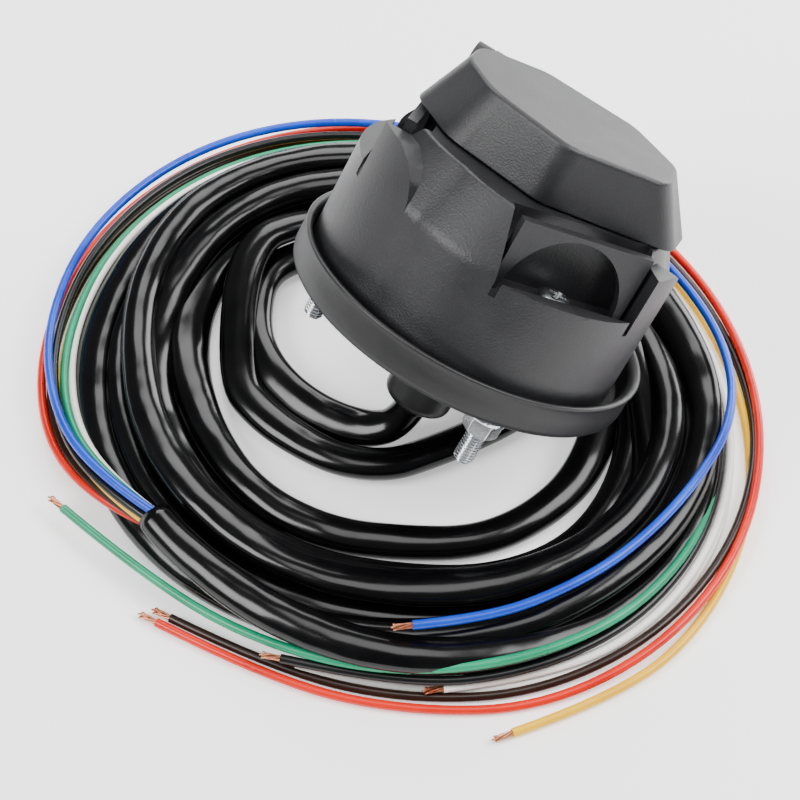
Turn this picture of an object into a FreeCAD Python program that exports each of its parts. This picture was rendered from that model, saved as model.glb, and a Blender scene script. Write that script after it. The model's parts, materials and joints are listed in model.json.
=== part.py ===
"""Seven-pole trailer socket with a sprung lid, lying on its coiled cable.

The socket is modelled in its own frame, with its mounting plane at z = 0 and its axis
along +Z, and is then leaned over onto its rear stud. The cable lies in the row frame.
"""
import FreeCAD, Part
import os
from math import cos, hypot, pi, radians, sin, tan

from FreeCAD import Placement, Rotation, Vector

# ---- how the socket stands -------------------------------------------------------------
LEAN = 35.0                    # degrees from upright, towards +Y
BASE_Y = -9.2                  # centre of the mounting plane in the row frame
BASE_Z = 34.07

CUT_PAST = 1.0                 # cuts go this far past a face
FAR = 100.0                    # past everything

# ---- studs: ISO 1724 fixing, M5 on a 56 mm triangle ------------------------------------
STUD_TRIANGLE = 56.0
STUD_CIRCLE_R = STUD_TRIANGLE / 3 ** 0.5
STUD_AZIMUTHS = (-30.0, 90.0, 210.0)
STUD_R = 2.5                   # thread's outer radius, below the nut
SHANK_R = 2.2                  # above the nut, as on a rolled thread
RECESS_W = 1.0                 # arms of the cross recess in the head
RECESS_L = 4.6
RECESS_DEPTH = 1.6
RECESS_TURNS = (20.0, 110.0)
STUD_HOLE_R = 2.8
STUD_TIP_Z = -17.2
STUD_HEAD_R = 4.6
STUD_HEAD_H = 2.8
STUD_HEAD_FILLET = 1.7
WASHER_TOP_Z = -3.4            # nuts are run on loosely, with room for the mounting plate
WASHER_R = 5.0
WASHER_H = 1.0
NUT_FLATS = 8.0
NUT_H = 4.0
NUT_CHAMFER = 0.45

# ---- gasket ----------------------------------------------------------------------------
GASKET_R = 44.4
GASKET_WALL = 2.3
GASKET_FLOOR = 2.0
GASKET_H = 9.2
GASKET_HOLE_R = 12.0

# ---- housing ---------------------------------------------------------------------------
LOBE_R = 36.6                  # each stud has a lobe: a cylinder set off from the axis
LOBE_OFFSET = 5.0
SHOULDER_Z = 32.3
LOBE_TOP_R = 29.6
SHOULDER_FILLET = 7.0
TOP_FILLET = 1.2
HOUSING_TOP_Z = 46.1
HOUSING_WALL = 2.8
BORE_R = 21.2                  # plug bore
MOUTH_R = 21.6                 # its wider mouth, clear of the contact block
MOUTH_Z = 38.6
TUBE_WALL = 2.4
TUBE_BOTTOM_Z = 6.5
POCKET_W = 37.0
POCKET_FLOOR_Z = 27.7
SILL_Z = 31.5                  # top of the lip in front of the pocket
SILL_BACK = 37.4               # distance from the axis to the lip's inner face
BUTTRESS_TURN = 44.0           # straight-sided wall beside each pocket, azimuth past the stud's
BUTTRESS_DEPTH = 25.0
BUTTRESS_OUTLINE = ((-26.0, 29.0), (7.6, 29.0), (6.6, 34.0), (5.0, 37.5), (1.8, 41.0), (-3.0, 43.0),
                    (-26.0, 43.0))
POCKET_BACK = 26.4             # distance from the axis to the pocket's back wall
POCKET_FRONT = 50.0            # past the lobe's outside
PANEL_W = 34.4
PANEL_FACE = 32.8              # distance from the axis to the arched panel's face
PANEL_T = 2.4
PANEL_DROP = 0.5               # top of the panel below the housing's top
ARCH_W = 30.5
ARCH_H = 16.8
STUD_BOSS_R = 5.6
KEYWAY_W = 5.0
KEYWAY_DEPTH = 2.0

# ---- contacts --------------------------------------------------------------------------
CARRIER_R = 21.0
CARRIER_BOTTOM_Z = 9.4
CARRIER_TOP_Z = 21.0
TOWER_R = 18.6                 # raised block that holds the contact sleeves
TOWER_TOP_Z = 38.0
CONTACT_R = 3.4
CONTACT_BORE_R = 2.5
CONTACT_CIRCLE_R = 14.0
CONTACT_BOTTOM_Z = 5.6
CONTACT_TOP_Z = 37.4
CONTACT_BORE_DEPTH = 16.0
CLAMP_BLOCK = 4.2              # height of the square clamp block
CLAMP_BLOCK_W = 6.4
CLAMP_SCREW_R = 1.5
CLAMP_SCREW_L = 5.0
CLAMP_SCREW_START = 0.6        # screw's tip past the contact's axis
CARRIER_SCREW_R = 1.45
CARRIER_SCREW_CIRCLE_R = 17.4
CARRIER_SCREW_AZIMUTHS = (54.0, 174.0, 294.0)
CARRIER_SCREW_BITE = 6.0       # length in the carrier
CARRIER_SCREW_SINK = 0.6       # head's depth below the rear cover's face
REAR_COVER_R = 30.0
REAR_COVER_Z = 2.05
REAR_COVER_T = 2.2
COVER_GAP = 0.4                # round the stud bosses

# ---- lid -------------------------------------------------------------------------------
LID_TURN = 24.0                # azimuth of the lid's long axis
LID_BOTTOM_Z = 46.6
LID_TOP_Z = 61.2
LID_WALL = 2.4
CROWN_FILLET = 1.3
LID_FOOT = ((-33.5, -8.0, 7.0), (-21.0, -20.5, 14.0), (4.5, -25.8, 8.0), (35.5, -9.0, 6.0), (35.5, 5.0, 6.0),
            (20.0, 20.5, 9.0), (-22.0, 20.5, 9.0), (-33.5, 7.0, 6.0))
LID_CROWN = ((-27.0, -8.5, 7.0), (-17.0, -19.2, 14.0), (5.0, -25.3, 8.0), (27.5, -12.0, 6.0), (26.0, 2.0, 6.0),
             (12.0, 12.2, 9.0), (-12.0, 13.2, 9.0), (-27.5, 4.5, 6.0))
SEAL_RING_R = 21.6
SEAL_RING_W = 1.4
SEAL_RING_Z = 46.35
SEAL_RING_H = 1.6
SEAL_LAND_W = 3.0              # rib inside the lid that backs the seal

# ---- hinge -----------------------------------------------------------------------------
HINGE_B = 26.6                 # distance behind the axis, across the lid
HINGE_Z = 51.0
KNUCKLE_R = 3.7
KNUCKLE_BORE_R = 1.55
KNUCKLE_SPAN = (-27.5, -5.5)
SPRING_SPAN = (-20.5, -12.5)
SPRING_END_GAP = 0.9
EAR_T = 4.2
EAR_GAP = 0.4
EAR_SINK = 4.0                 # depth of the ear's foot in the housing
BRACKET_D = 14.0
BRACKET_H = 7.0
KNUCKLE_ARM_START = 16.0       # where the knuckle's arm leaves the lid's side
KNUCKLE_ARM_H = 6.2
KNUCKLE_ARM_DROP = 2.2         # bottom of the arm below the pin
SPRING_ROOM_D = 9.0            # gap in the knuckle for the spring
SPRING_ROOM_START = 4.4
SPRING_ROOM_H = 12.0
PIN_R = 1.5
SPRING_OUTER_R = 3.3
SPRING_INNER_R = 2.0

# ---- cable boot ------------------------------------------------------------------------
BOOT_R = 8.6
BOOT_NECK_R = 6.5
BOOT_TOP_Z = 4.2
BOOT_FLANGE_R = 11.0
BOOT_FLANGE_T = 1.9
BOOT_END_Z = -24.0
BOOT_FILLET = 2.6

# ---- cable -----------------------------------------------------------------------------
ARC_SHARE = 0.45               # share of the shorter run that each joining arc takes
SLEEVE_R = 4.0
SLEEVE_POINTS = ((0.0, -22.97, 14.41), (-0.6, -27.2, 8.5), (-5.0, -32.4, 5.2), (-13.2, -37.6, 4.3),
                 (-25.0, -41.0, 4.2), (-38.0, -40.6, 4.3), (-50.0, -35.8, 4.2), (-60.0, -27.7, 4.3))
COIL_CENTRE = (-12.0, -20.2)
COIL_OUTER = (87.0, 77.0)
COIL_INNER = (46.0, 36.0)
COIL_H = 15.4
COIL_GAP = 1.6                 # between the coil and the socket that leans over it
STUD_ROOM_W = 18.0             # clear of the coil round the rear stud
STUD_ROOM_D = 24.0
WIRE_R = 1.15
COPPER_R = 0.8
COPPER_L = 6.0
# Each wire goes clockwise round the coil: (azimuth, distance outside the coil's edge, height).
WIRES = {
    "wire_blue": (
        (-92, -6, 14), (-104, 0, 13), (-119, 5, 10), (-138, 8, 8), (-160, 9, 8), (-184, 9, 8), (-208, 9, 7),
        (-232, 8, 6), (-256, 7, 5), (-280, 6, 6), (-300, 6, 10), (-318, 3, 15), (-336, -4, 17.5), (-354, -8, 16.7),
        (-370, -9, 17.2), (-386, -8, 16.7), (-400, -7, 16.9)),
    "wire_black": (
        (-91, -5, 12), (-103, 1, 11), (-118, 5, 8), (-137, 6, 6), (-159, 6, 6), (-183, 6, 6), (-207, 6, 5),
        (-231, 5, 4), (-256, 4, 4), (-282, 4, 4), (-308, 3, 5), (-334, 3, 5), (-358, 3, 6), (-380, 3, 7),
        (-401, 3, 6), (-421, 3, 6)),
    "wire_yellow": (
        (-92, -4, 11), (-104, 1, 9), (-120, 4, 5), (-140, 4, 2), (-163, 4, 1.4), (-187, 4, 1.5), (-211, 5, 1.4),
        (-235, 6, 1.5), (-259, 7, 1.4), (-283, 8, 1.5), (-307, 9, 1.4), (-330, 11, 1.5), (-351, 13, 1.4),
        (-369, 14, 1.5), (-386, 14, 1.4)),
    "wire_green": (
        (-91, -7, 12), (-103, -2, 11), (-119, 3, 8), (-139, 3, 5), (-162, 3, 4), (-187, 3, 4), (-212, 3, 4),
        (-237, 3, 4), (-262, 3, 3.6), (-287, 2, 4), (-312, 2, 4), (-336, 1.8, 6), (-360, 1.8, 9), (-383, 1.8, 11),
        (-405, 1.8, 9), (-426, 2, 7), (-446, 4, 6), (-464, 10, 5)),
    "wire_brown": (
        (-92, -5, 9), (-104, 2, 7), (-120, 7, 3), (-140, 7, 1.5), (-163, 7, 1.4), (-187, 7, 1.5), (-211, 8, 1.4),
        (-235, 9, 1.5), (-259, 10, 1.4), (-284, 11, 1.5), (-309, 12, 1.4), (-333, 10, 3.8), (-357, 8, 3.6),
        (-380, 6, 1.5), (-401, 4, 1.4), (-421, 4, 1.5), (-440, 6, 1.4)),
    "wire_red": (
        (-91, -6, 8), (-103, 3, 6), (-119, 9, 3), (-139, 10, 1.4), (-162, 10, 1.5), (-186, 10, 1.4),
        (-210, 11, 1.5), (-234, 12, 1.4), (-258, 13, 1.5), (-283, 14, 1.4), (-308, 13, 3.8), (-333, 12, 4.0),
        (-357, 11, 3.6), (-380, 10, 1.5), (-401, 7, 1.4), (-421, 7, 1.5), (-441, 9, 1.4)),
    "wire_white": (
        (-92, -7, 9), (-104, -1, 7), (-120, 2, 3), (-140, 2, 1.5), (-163, 2, 1.4), (-187, 2, 1.5), (-211, 2, 1.4),
        (-236, 2, 1.5), (-261, 3, 1.4), (-286, 4, 1.5), (-311, 5, 1.4), (-336, 6, 1.5), (-359, 6, 1.4),
        (-380, 4, 1.5), (-400, 2, 1.4), (-419, 2, 1.5)),
    "wire_white_spare": (
        (-91, -8, 10), (-103, -3, 9), (-119, 1, 6), (-139, 2, 4), (-162, 2, 3.8), (-186, 2, 3.9), (-210, 2, 3.8),
        (-235, 2, 3.9), (-260, 3, 3.8), (-285, 4, 3.9), (-310, 5, 3.8), (-334, 5, 3.9), (-356, 5, 3.8),
        (-376, 4, 3.9), (-395, 2, 3.8)),
}


def polar(radius, azimuth, z=0.0):
    """Point at this radius and azimuth about the Z axis."""
    return Vector(radius * cos(radians(azimuth)), radius * sin(radians(azimuth)), z)


def rod(radius, z_low, z_high, centre=Vector()):
    """Upright cylinder between two heights."""
    return Part.makeCylinder(radius, z_high - z_low, Vector(centre.x, centre.y, z_low))


def tube(outer_r, inner_r, z_low, z_high, centre=Vector()):
    """Upright tube between two heights."""
    return rod(outer_r, z_low, z_high, centre).cut(rod(inner_r, z_low - CUT_PAST, z_high + CUT_PAST, centre))


def turned(shape, azimuth):
    """Copy of a shape turned about the Z axis."""
    copy = shape.copy()
    copy.rotate(Vector(), Vector(0, 0, 1), azimuth)
    return copy


def across(x_low, x_high, width, z_low, z_high, azimuth):
    """Box that reaches outwards from x_low to x_high along an azimuth, centred on it."""
    block = Part.makeBox(x_high - x_low, width, z_high - z_low, Vector(x_low, -width / 2, z_low))
    return turned(block, azimuth)


def rounded_wire(corners, z):
    """Closed outline through (x, y, radius) corners, each rounded by its radius."""
    count = len(corners)
    joints = []
    for i, (x, y, radius) in enumerate(corners):
        here = Vector(x, y, z)
        before = Vector(*corners[i - 1][:2], z) - here
        after = Vector(*corners[(i + 1) % count][:2], z) - here
        half = before.getAngle(after) / 2
        reach = radius / tan(half)
        before.normalize()
        after.normalize()
        middle = before + after
        middle.normalize()
        apex = here + middle * (radius / sin(half) - radius)
        joints.append((here + before * reach, apex, here + after * reach))
    edges = []
    for i, (start, apex, end) in enumerate(joints):
        edges.append(Part.Arc(start, apex, end).toShape())
        edges.append(Part.LineSegment(end, joints[(i + 1) % count][0]).toShape())
    return Part.Wire(edges)


def loft(wire_low, wire_high):
    """Solid between two matching outlines."""
    return Part.makeLoft([wire_low, wire_high], True, True)


def inset(corners, distance):
    """Corners moved towards the outline's middle by about this distance."""
    moved = []
    for x, y, radius in corners:
        size = hypot(x, y)
        scale = (size - distance * 1.25) / size
        moved.append((x * scale, y * scale, max(radius - distance, 1.0)))
    return moved


def round_edges(shape, z):
    """Circular edges that lie at this height."""
    return [edge for edge in shape.Edges
            if abs(edge.BoundBox.ZMin - z) < 0.01 and abs(edge.BoundBox.ZMax - z) < 0.01]


# ---- housing ---------------------------------------------------------------------------
def lobe(azimuth, shrink):
    """One lobe of the housing, smaller all round by shrink."""
    offset = polar(LOBE_OFFSET, azimuth)
    foot = rod(LOBE_R - shrink, GASKET_FLOOR, SHOULDER_Z, offset)
    cone = Part.makeCone(LOBE_R - shrink, LOBE_TOP_R - shrink, HOUSING_TOP_Z - SHOULDER_Z,
                         Vector(offset.x, offset.y, SHOULDER_Z))
    form = foot.fuse(cone).removeSplitter()
    form = form.makeFillet(SHOULDER_FILLET, round_edges(form, SHOULDER_Z))
    return form.makeFillet(TOP_FILLET, round_edges(form, HOUSING_TOP_Z))


def lobed_body(shrink):
    """Outer or inner form of the housing: three lobes joined."""
    lobes = [lobe(azimuth, shrink) for azimuth in STUD_AZIMUTHS]
    return lobes[0].fuse(lobes[1]).fuse(lobes[2])


def pocket_shell(azimuth):
    """Walls round one bolt pocket, before the pocket is cut."""
    return across(POCKET_BACK - HOUSING_WALL, POCKET_FRONT, POCKET_W + 2 * HOUSING_WALL,
                  POCKET_FLOOR_Z - HOUSING_WALL, HOUSING_TOP_Z, azimuth)


def pocket_panel(azimuth):
    """Flat panel in the pocket with an arched opening, over the bolt's head."""
    panel = across(PANEL_FACE - PANEL_T, PANEL_FACE, PANEL_W, POCKET_FLOOR_Z, HOUSING_TOP_Z - PANEL_DROP, 0.0)
    arch = Part.makeCylinder(1.0, POCKET_FRONT, Vector(), Vector(1, 0, 0))
    stretch = FreeCAD.Matrix()
    stretch.scale(1.0, ARCH_W / 2, ARCH_H)
    arch = arch.transformGeometry(stretch)
    arch.translate(Vector(0, 0, POCKET_FLOOR_Z))
    return turned(panel.cut(arch), azimuth)


def buttress(azimuth):
    """Straight-sided wall at one side of a pocket, which rises past the shoulder."""
    corners = [Vector(BUTTRESS_DEPTH, u, z) for u, z in BUTTRESS_OUTLINE + BUTTRESS_OUTLINE[:1]]
    prism = Part.Face(Part.makePolygon(corners)).extrude(Vector(LOBE_R, 0, 0))
    full_lobe = rod(LOBE_R, GASKET_FLOOR, HOUSING_TOP_Z, polar(LOBE_OFFSET, azimuth))
    return turned(prism, azimuth + BUTTRESS_TURN).common(full_lobe)


def hinge_place(shape):
    """Shape built along X at the hinge's line, turned to the lid's azimuth."""
    return turned(shape, LID_TURN)


def along_hinge(radius, span):
    """Cylinder on the hinge's line between two distances along it."""
    return Part.makeCylinder(radius, span[1] - span[0], Vector(span[0], HINGE_B, HINGE_Z), Vector(1, 0, 0))


def hinge_ear(start):
    """Ear on the housing that holds one end of the pin."""
    round_top = along_hinge(KNUCKLE_R, (start, start + EAR_T))
    foot = Part.makeBox(EAR_T, 2 * KNUCKLE_R, HINGE_Z - HOUSING_TOP_Z + EAR_SINK,
                        Vector(start, HINGE_B - KNUCKLE_R, HOUSING_TOP_Z - EAR_SINK))
    return hinge_place(round_top.fuse(foot))


def hinge_bracket():
    """Shelf on the housing's top edge that carries the two ears."""
    left = KNUCKLE_SPAN[0] - EAR_GAP - EAR_T
    length = KNUCKLE_SPAN[1] + EAR_GAP + EAR_T - left
    shelf = Part.makeBox(length, BRACKET_D, BRACKET_H,
                         Vector(left, HINGE_B + KNUCKLE_R - BRACKET_D, HOUSING_TOP_Z - BRACKET_H))
    return hinge_place(shelf)


def ear_starts():
    """Where the two ears begin along the hinge."""
    return (KNUCKLE_SPAN[0] - EAR_GAP - EAR_T, KNUCKLE_SPAN[1] + EAR_GAP)


def housing():
    """Moulded socket body with its bore, rear cavity, pockets and hinge ears."""
    outer = lobed_body(0.0)
    cavity = lobed_body(HOUSING_WALL)
    cavity = cavity.cut(rod(BORE_R + TUBE_WALL, 0, FAR))
    cavity = cavity.common(rod(FAR, 0, HOUSING_TOP_Z - HOUSING_WALL))
    for azimuth in STUD_AZIMUTHS:
        cavity = cavity.cut(pocket_shell(azimuth))
        cavity = cavity.cut(rod(STUD_BOSS_R, 0, POCKET_FLOOR_Z, polar(STUD_CIRCLE_R, azimuth)))
    body = outer.cut(cavity)
    body = body.fuse(hinge_bracket())
    for azimuth in STUD_AZIMUTHS:
        body = body.fuse(buttress(azimuth))
    for azimuth in STUD_AZIMUTHS:
        body = body.cut(across(POCKET_BACK, SILL_BACK, POCKET_W, POCKET_FLOOR_Z, FAR, azimuth))
        body = body.cut(across(SILL_BACK - CUT_PAST, POCKET_FRONT, POCKET_W, SILL_Z, FAR, azimuth))
        body = body.fuse(pocket_panel(azimuth))
        body = body.cut(rod(STUD_HOLE_R, 0, POCKET_FLOOR_Z + CUT_PAST, polar(STUD_CIRCLE_R, azimuth)))
    for start in ear_starts():
        body = body.fuse(hinge_ear(start))
    body = body.cut(rod(BORE_R, 0, FAR)).cut(rod(MOUTH_R, MOUTH_Z, FAR))
    body = body.cut(rod(BORE_R + TUBE_WALL + CUT_PAST, 0, TUBE_BOTTOM_Z))
    body = body.cut(across(0, BORE_R + KEYWAY_DEPTH, KEYWAY_W, CARRIER_TOP_Z, FAR, LID_TURN - 90))
    body = body.cut(hinge_place(along_hinge(PIN_R, (KNUCKLE_SPAN[0] - 2 * EAR_T, KNUCKLE_SPAN[1] + 2 * EAR_T))))
    return body.removeSplitter()


# ---- contacts --------------------------------------------------------------------------
def contact_points():
    """Six contacts on the circle and one in the middle."""
    ring = [polar(CONTACT_CIRCLE_R, LID_TURN - 90 + 30 + 60 * i) for i in range(6)]
    return ring + [Vector()]


def contact_carrier():
    """Moulded insert that fills the bore's rear and holds the contact sleeves."""
    body = rod(CARRIER_R, CARRIER_BOTTOM_Z, CARRIER_TOP_Z)
    body = body.fuse(rod(TOWER_R, CARRIER_TOP_Z, TOWER_TOP_Z))
    for point in contact_points():
        body = body.cut(rod(CONTACT_R, 0, FAR, point))
    for azimuth in CARRIER_SCREW_AZIMUTHS:
        body = body.cut(rod(CARRIER_SCREW_R, 0, CARRIER_BOTTOM_Z + CARRIER_SCREW_BITE,
                            polar(CARRIER_SCREW_CIRCLE_R, azimuth)))
    return body


def contact_sleeve(point):
    """Brass sleeve with a slotted mouth and a square clamp block at the rear."""
    sleeve = rod(CONTACT_R, CONTACT_BOTTOM_Z + CLAMP_BLOCK, CONTACT_TOP_Z, point)
    sleeve = sleeve.cut(rod(CONTACT_BORE_R, CONTACT_TOP_Z - CONTACT_BORE_DEPTH, FAR, point))
    block = Part.makeBox(CLAMP_BLOCK_W, CLAMP_BLOCK_W, CLAMP_BLOCK,
                         Vector(point.x - CLAMP_BLOCK_W / 2, point.y - CLAMP_BLOCK_W / 2, CONTACT_BOTTOM_Z))
    screw_hole = Part.makeCylinder(CLAMP_SCREW_R, CLAMP_SCREW_L, *clamp_screw_line(point))
    return sleeve.fuse(block.common(rod(CONTACT_R, 0, FAR, point))).cut(screw_hole)


def clamp_screw_line(point):
    """Start and direction of the screw that clamps the wire into a contact."""
    outward = Vector(point.x, point.y, 0)
    if outward.Length < CLAMP_SCREW_R:
        outward = Vector(0, 1, 0)
    outward.normalize()
    start = Vector(point.x, point.y, CONTACT_BOTTOM_Z + CLAMP_BLOCK / 2)
    start = start + outward * CLAMP_SCREW_START
    return start, outward


def contacts():
    """The seven contact sleeves."""
    return Part.makeCompound([contact_sleeve(point) for point in contact_points()])


def clamp_screws():
    """One small screw in each contact."""
    return Part.makeCompound([Part.makeCylinder(CLAMP_SCREW_R, CLAMP_SCREW_L, *clamp_screw_line(point))
                              for point in contact_points()])


def carrier_screws():
    """Screws that hold the rear cover to the carrier."""
    screws = []
    for azimuth in CARRIER_SCREW_AZIMUTHS:
        point = polar(CARRIER_SCREW_CIRCLE_R, azimuth)
        screws.append(rod(CARRIER_SCREW_R, REAR_COVER_Z + CARRIER_SCREW_SINK,
                          CARRIER_BOTTOM_Z + CARRIER_SCREW_BITE, point))
    return Part.makeCompound(screws)


def rear_cover():
    """Disc that closes the rear cavity round the cable boot."""
    disc = tube(REAR_COVER_R, BOOT_NECK_R, REAR_COVER_Z, REAR_COVER_Z + REAR_COVER_T)
    for azimuth in CARRIER_SCREW_AZIMUTHS:
        disc = disc.cut(rod(CARRIER_SCREW_R, 0, FAR, polar(CARRIER_SCREW_CIRCLE_R, azimuth)))
    for azimuth in STUD_AZIMUTHS:
        disc = disc.cut(rod(STUD_BOSS_R + COVER_GAP, 0, FAR, polar(STUD_CIRCLE_R, azimuth)))
    return disc


# ---- gasket, boot and fasteners --------------------------------------------------------
def gasket():
    """Rubber cup under the housing with a raised lip."""
    cup = rod(GASKET_R, 0, GASKET_H).cut(rod(GASKET_R - GASKET_WALL, GASKET_FLOOR, FAR))
    cup = cup.cut(rod(GASKET_HOLE_R, -CUT_PAST, FAR))
    for azimuth in STUD_AZIMUTHS:
        cup = cup.cut(rod(STUD_HOLE_R, -CUT_PAST, GASKET_FLOOR + CUT_PAST, polar(STUD_CIRCLE_R, azimuth)))
    return cup


def cable_boot():
    """Rubber boot that seals the cable into the rear cover."""
    block = rod(BOOT_R, BOOT_END_Z, 0.0)
    block = block.makeFillet(BOOT_FILLET, round_edges(block, BOOT_END_Z))
    boot = block.fuse(rod(BOOT_FLANGE_R, 0.0, BOOT_FLANGE_T)).fuse(rod(BOOT_NECK_R, BOOT_FLANGE_T, BOOT_TOP_Z))
    return boot.removeSplitter()


def stud(azimuth):
    """M5 pan-head bolt with a cross recess, plain where its thread would be."""
    point = polar(STUD_CIRCLE_R, azimuth)
    head = rod(STUD_HEAD_R, POCKET_FLOOR_Z, POCKET_FLOOR_Z + STUD_HEAD_H, point)
    head_top = POCKET_FLOOR_Z + STUD_HEAD_H
    head = head.makeFillet(STUD_HEAD_FILLET, round_edges(head, head_top))
    for turn in RECESS_TURNS:
        arm = across(-RECESS_L / 2, RECESS_L / 2, RECESS_W, head_top - RECESS_DEPTH, FAR, turn)
        arm.translate(point)
        head = head.cut(arm)
    nut_end_z = WASHER_TOP_Z - WASHER_H - NUT_H
    shank = rod(SHANK_R, nut_end_z, POCKET_FLOOR_Z, point)
    thread = rod(STUD_R, STUD_TIP_Z, nut_end_z, point)
    return head.fuse(shank).fuse(thread).removeSplitter()


def studs():
    """The three mounting bolts."""
    return Part.makeCompound([stud(azimuth) for azimuth in STUD_AZIMUTHS])


def washers():
    """A plain washer under each nut."""
    return Part.makeCompound([tube(WASHER_R, SHANK_R, WASHER_TOP_Z - WASHER_H, WASHER_TOP_Z,
                                   polar(STUD_CIRCLE_R, azimuth)) for azimuth in STUD_AZIMUTHS])


def nut(azimuth):
    """M5 hexagon nut below its washer."""
    point = polar(STUD_CIRCLE_R, azimuth, WASHER_TOP_Z - WASHER_H - NUT_H)
    corner_r = NUT_FLATS / 2 / cos(pi / 6)
    corners = [point + polar(corner_r, azimuth + 60 * i) for i in range(7)]
    hexagon = Part.Face(Part.makePolygon(corners)).extrude(Vector(0, 0, NUT_H))
    blank = rod(corner_r, point.z, point.z + NUT_H, point)
    blank = blank.makeChamfer(NUT_CHAMFER, round_edges(blank, point.z) + round_edges(blank, point.z + NUT_H))
    return hexagon.common(blank).cut(rod(SHANK_R, -FAR, 0, point))


def nuts():
    """The three nuts."""
    return Part.makeCompound([nut(azimuth) for azimuth in STUD_AZIMUTHS])


# ---- lid -------------------------------------------------------------------------------
def lid():
    """Tapered cap with a knuckle for the hinge pin."""
    outline = loft(rounded_wire(LID_FOOT, LID_BOTTOM_Z), rounded_wire(LID_CROWN, LID_TOP_Z))
    outline = outline.makeFillet(CROWN_FILLET, round_edges(outline, LID_TOP_Z))
    hollow = loft(rounded_wire(inset(LID_FOOT, LID_WALL), LID_BOTTOM_Z),
                  rounded_wire(inset(LID_CROWN, LID_WALL), LID_TOP_Z - LID_WALL))
    cap = outline.cut(hollow)
    land = tube(SEAL_RING_R + SEAL_LAND_W / 2, SEAL_RING_R - SEAL_LAND_W / 2,
                SEAL_RING_Z + SEAL_RING_H, LID_TOP_Z - LID_WALL / 2)
    cap = cap.fuse(land.common(outline)).cut(seal_ring())
    arm = Part.makeBox(KNUCKLE_SPAN[1] - KNUCKLE_SPAN[0], HINGE_B - KNUCKLE_ARM_START, KNUCKLE_ARM_H,
                       Vector(KNUCKLE_SPAN[0], KNUCKLE_ARM_START, HINGE_Z - KNUCKLE_ARM_DROP))
    cap = cap.fuse(arm).fuse(along_hinge(KNUCKLE_R, KNUCKLE_SPAN))
    cap = cap.cut(along_hinge(KNUCKLE_BORE_R, KNUCKLE_SPAN))
    gap = Part.makeBox(SPRING_SPAN[1] - SPRING_SPAN[0], SPRING_ROOM_D, SPRING_ROOM_H,
                       Vector(SPRING_SPAN[0], HINGE_B - SPRING_ROOM_START, HINGE_Z - SPRING_ROOM_H / 2))
    return hinge_place(cap.cut(gap)).removeSplitter()


def seal_ring():
    """Round seal, cut back where the lid's side walls come inside it. Built along X as the lid is."""
    ring = tube(SEAL_RING_R + SEAL_RING_W / 2, SEAL_RING_R - SEAL_RING_W / 2, SEAL_RING_Z,
                SEAL_RING_Z + SEAL_RING_H)
    outline = loft(rounded_wire(inset(LID_FOOT, LID_WALL), LID_BOTTOM_Z - CUT_PAST),
                   rounded_wire(inset(LID_FOOT, LID_WALL), LID_TOP_Z))
    return ring.common(outline)


def lid_seal():
    """Soft ring inside the lid that closes on the socket's face."""
    return hinge_place(seal_ring())


def hinge_pin():
    """Steel pin through the ears and the knuckle."""
    left, right = ear_starts()
    return hinge_place(along_hinge(PIN_R, (left, right + EAR_T)))


def hinge_spring():
    """Torsion spring round the pin, as the tube that its turns fill."""
    inner = (SPRING_SPAN[0] + SPRING_END_GAP, SPRING_SPAN[1] - SPRING_END_GAP)
    return hinge_place(along_hinge(SPRING_OUTER_R, inner).cut(along_hinge(SPRING_INNER_R, inner)))


# ---- cable -----------------------------------------------------------------------------
def rounded_path(points, name):
    """Straight runs joined by tangent arcs, as one wire. Prints the arc radii."""
    edges = []
    radii = []
    last = points[0]
    for before, here, after in zip(points, points[1:], points[2:]):
        back = before - here
        ahead = after - here
        half_turn = (pi - back.getAngle(ahead)) / 2
        reach = ARC_SHARE * min(back.Length, ahead.Length)
        radius = reach / tan(half_turn)
        back.normalize()
        ahead.normalize()
        middle = back + ahead
        middle.normalize()
        start = here + back * reach
        end = here + ahead * reach
        apex = here + middle * (radius / cos(half_turn) - radius)
        edges.append(Part.LineSegment(last, start).toShape())
        edges.append(Part.Arc(start, apex, end).toShape())
        radii.append(radius)
        last = end
    edges.append(Part.LineSegment(last, points[-1]).toShape())
    wire = Part.Wire(edges)
    print(name, "length %.0f" % wire.Length, "radii", " ".join("%.0f" % r for r in radii))
    return wire


def cord(points, radius, name):
    """Round cord along a route. Prints its volume beside section times length."""
    wire = rounded_path(points, name)
    heading = points[1] - points[0]
    section = Part.Wire(Part.makeCircle(radius, points[0], heading))
    shape = wire.makePipeShell([section], True, False, 2)
    print(name, "volume", round(shape.Volume), "section x length", round(pi * radius ** 2 * wire.Length))
    return shape


def oval(half_axes, z, height):
    """Upright oval prism about the coil's centre."""
    centre = Vector(*COIL_CENTRE, z)
    ellipse = Part.Ellipse(centre, half_axes[0], half_axes[1])
    return Part.Face(Part.Wire(ellipse.toShape())).extrude(Vector(0, 0, height))


def sleeve_coil():
    """Outer shape of the coiled sleeve, hollowed where the socket leans over it."""
    ring = oval(COIL_OUTER, 0, COIL_H).cut(oval(COIL_INNER, -CUT_PAST, COIL_H + 2 * CUT_PAST))
    ring = ring.cut(placed(rod(GASKET_R + COIL_GAP, -COIL_GAP, FAR)))
    room = Part.makeBox(STUD_ROOM_W, STUD_ROOM_D, COIL_H + 2 * CUT_PAST, Vector(-STUD_ROOM_W / 2, 0, -CUT_PAST))
    return ring.cut(room)


def wire_points(steps):
    """Route of one wire round the coil."""
    points = []
    for azimuth, outside, height in steps:
        points.append(Vector(COIL_CENTRE[0] + (COIL_OUTER[0] + outside) * cos(radians(azimuth)),
                             COIL_CENTRE[1] + (COIL_OUTER[1] + outside) * sin(radians(azimuth)), height))
    return points


def copper_end(points):
    """Stripped strands past a wire's last point."""
    return Part.makeCylinder(COPPER_R, COPPER_L, points[-1], points[-1] - points[-2])


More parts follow.
